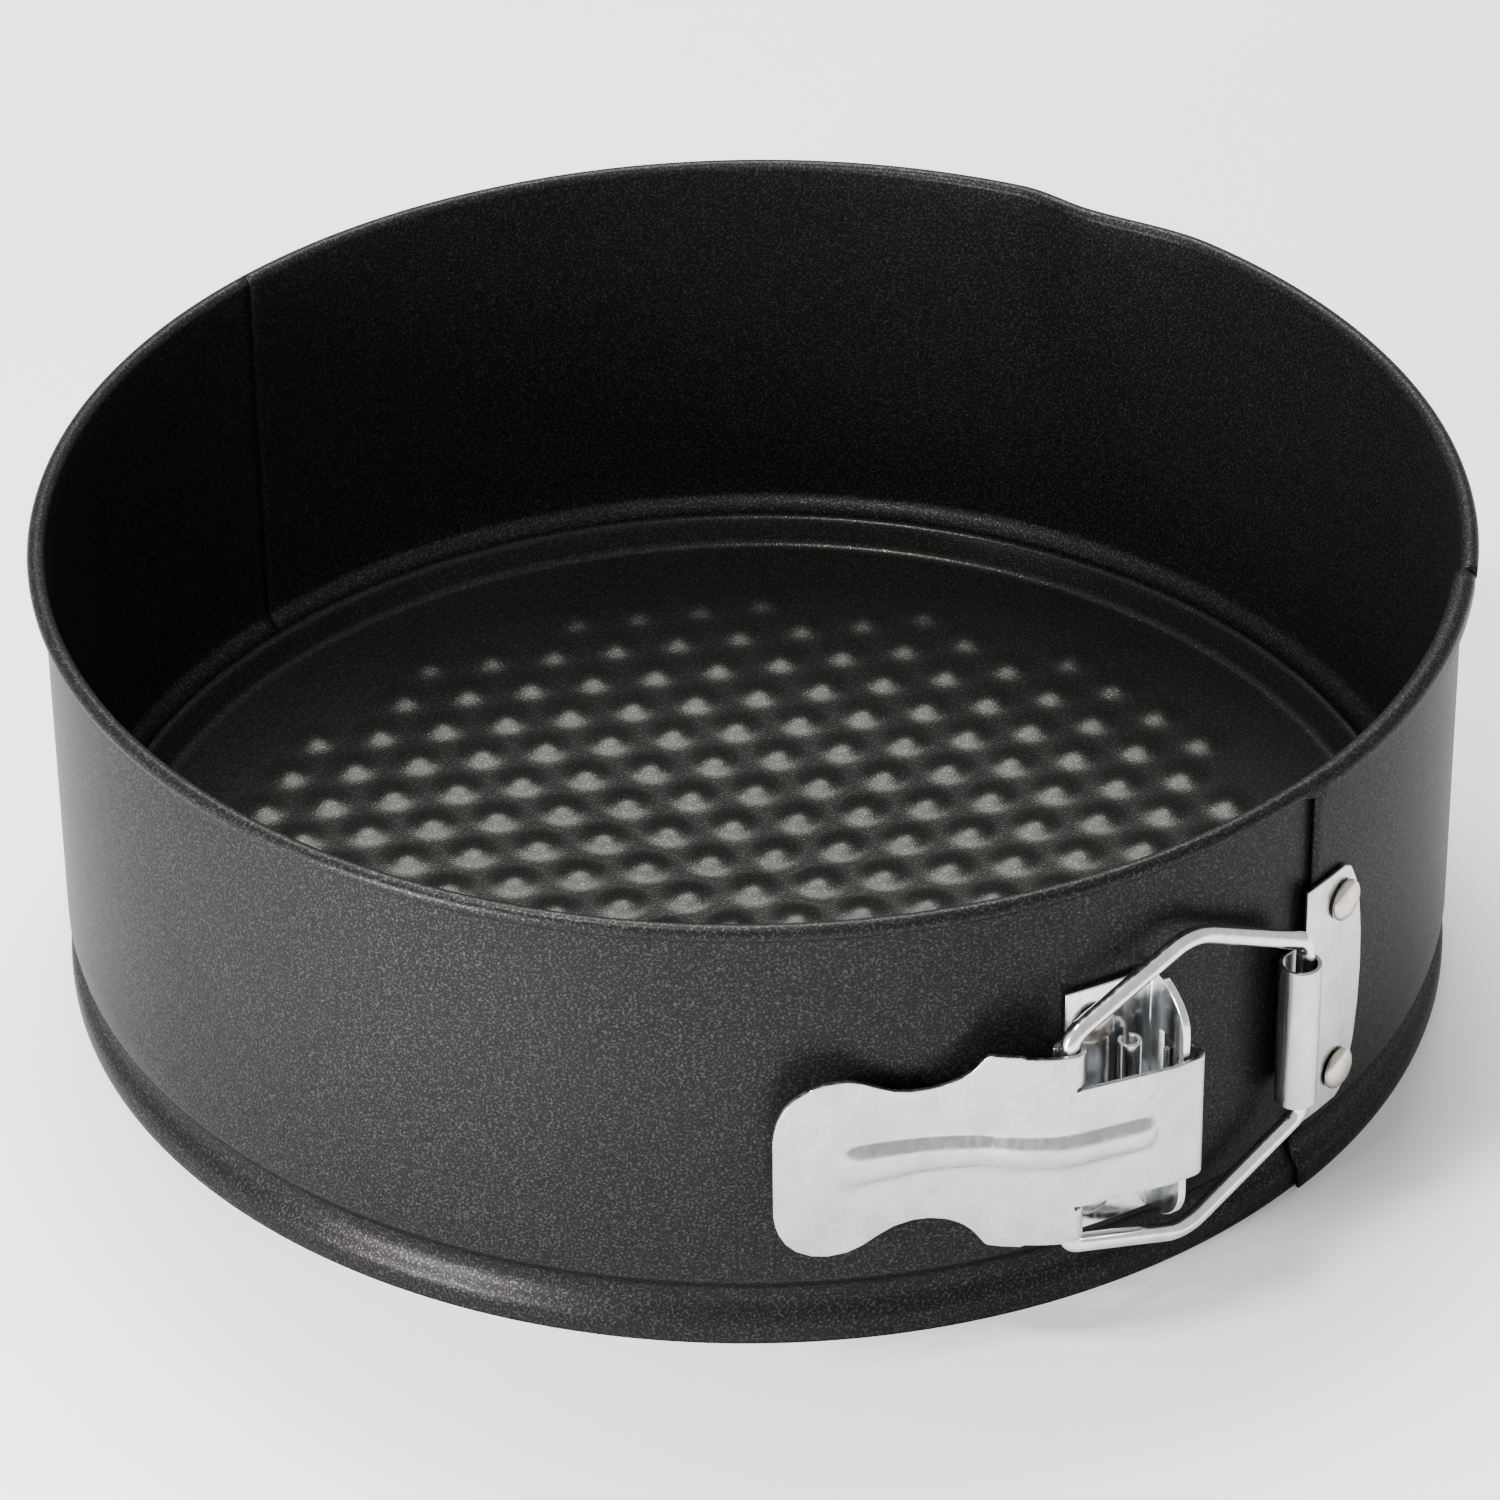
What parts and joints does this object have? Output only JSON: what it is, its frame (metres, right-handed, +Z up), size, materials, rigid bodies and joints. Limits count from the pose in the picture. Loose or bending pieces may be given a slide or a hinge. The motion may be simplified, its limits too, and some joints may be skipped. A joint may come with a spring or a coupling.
{
  "type": "springform pan",
  "caption": "Round baking pan with a removable base and a lapped steel side band closed by an over-centre toggle latch.",
  "frame": {"origin": "on the pan's axis, in the plane that it stands on", "axes": "+Z up along the pan's axis, -Y towards the latch, +X towards the band's lapped outer end"},
  "size_m": [0.2359, 0.2444, 0.0807],
  "materials": {
    "coated_steel": "dark grey non-stick coating with a fine metallic fleck, satin",
    "coated_base": "dark grey non-stick coating on dimpled sheet, satin",
    "zinc_plate": "bright zinc plate, smooth with fine scuffs",
    "rivet_nickel": "nickel plate, slightly brown, polished"
  },
  "bodies": {
    "base": {"base_disc": "coated_base"},
    "ring_left": {"side_band_left": "coated_steel", "latch_bracket": "zinc_plate", "bracket_rivet_upper": "rivet_nickel", "bracket_rivet_lower": "rivet_nickel"},
    "ring_right": {"side_band_right": "coated_steel", "hinge_plate": "zinc_plate", "hinge_rivet_upper": "rivet_nickel", "hinge_rivet_lower": "rivet_nickel"},
    "lever": {"lever": "zinc_plate"},
    "bail": {"bail_wire": "zinc_plate"}
  },
  "joints": [
    {"name": "ring_lift", "type": "slide", "parent": "base", "child": "ring_left", "axis": [0, 0, 1], "range_m": [0, 0.1]},
    {"name": "latch_lever", "type": "hinge", "parent": "ring_left", "child": "lever", "pos_m": [0.0015, -0.124, 0.037], "axis": [0, 0, 1], "range_deg": [0, 70]},
    {"name": "bail_swing", "type": "hinge", "parent": "lever", "child": "bail", "pos_m": [-0.0173, -0.1213, 0.037], "axis": [0, 0, 1], "range_deg": [-43.5, 0]},
    {"name": "band_opening", "type": "hinge", "parent": "ring_left", "child": "ring_right", "pos_m": [-0.03429, 0.11008, 0.0403], "axis": [0, 0, 1], "range_deg": [0, 0.75]}
  ],
  "couplings": [
    {"joint": "bail_swing", "follows": "latch_lever", "ratio": -0.617},
    {"joint": "band_opening", "follows": "latch_lever", "ratio": 0.01}
  ]
}
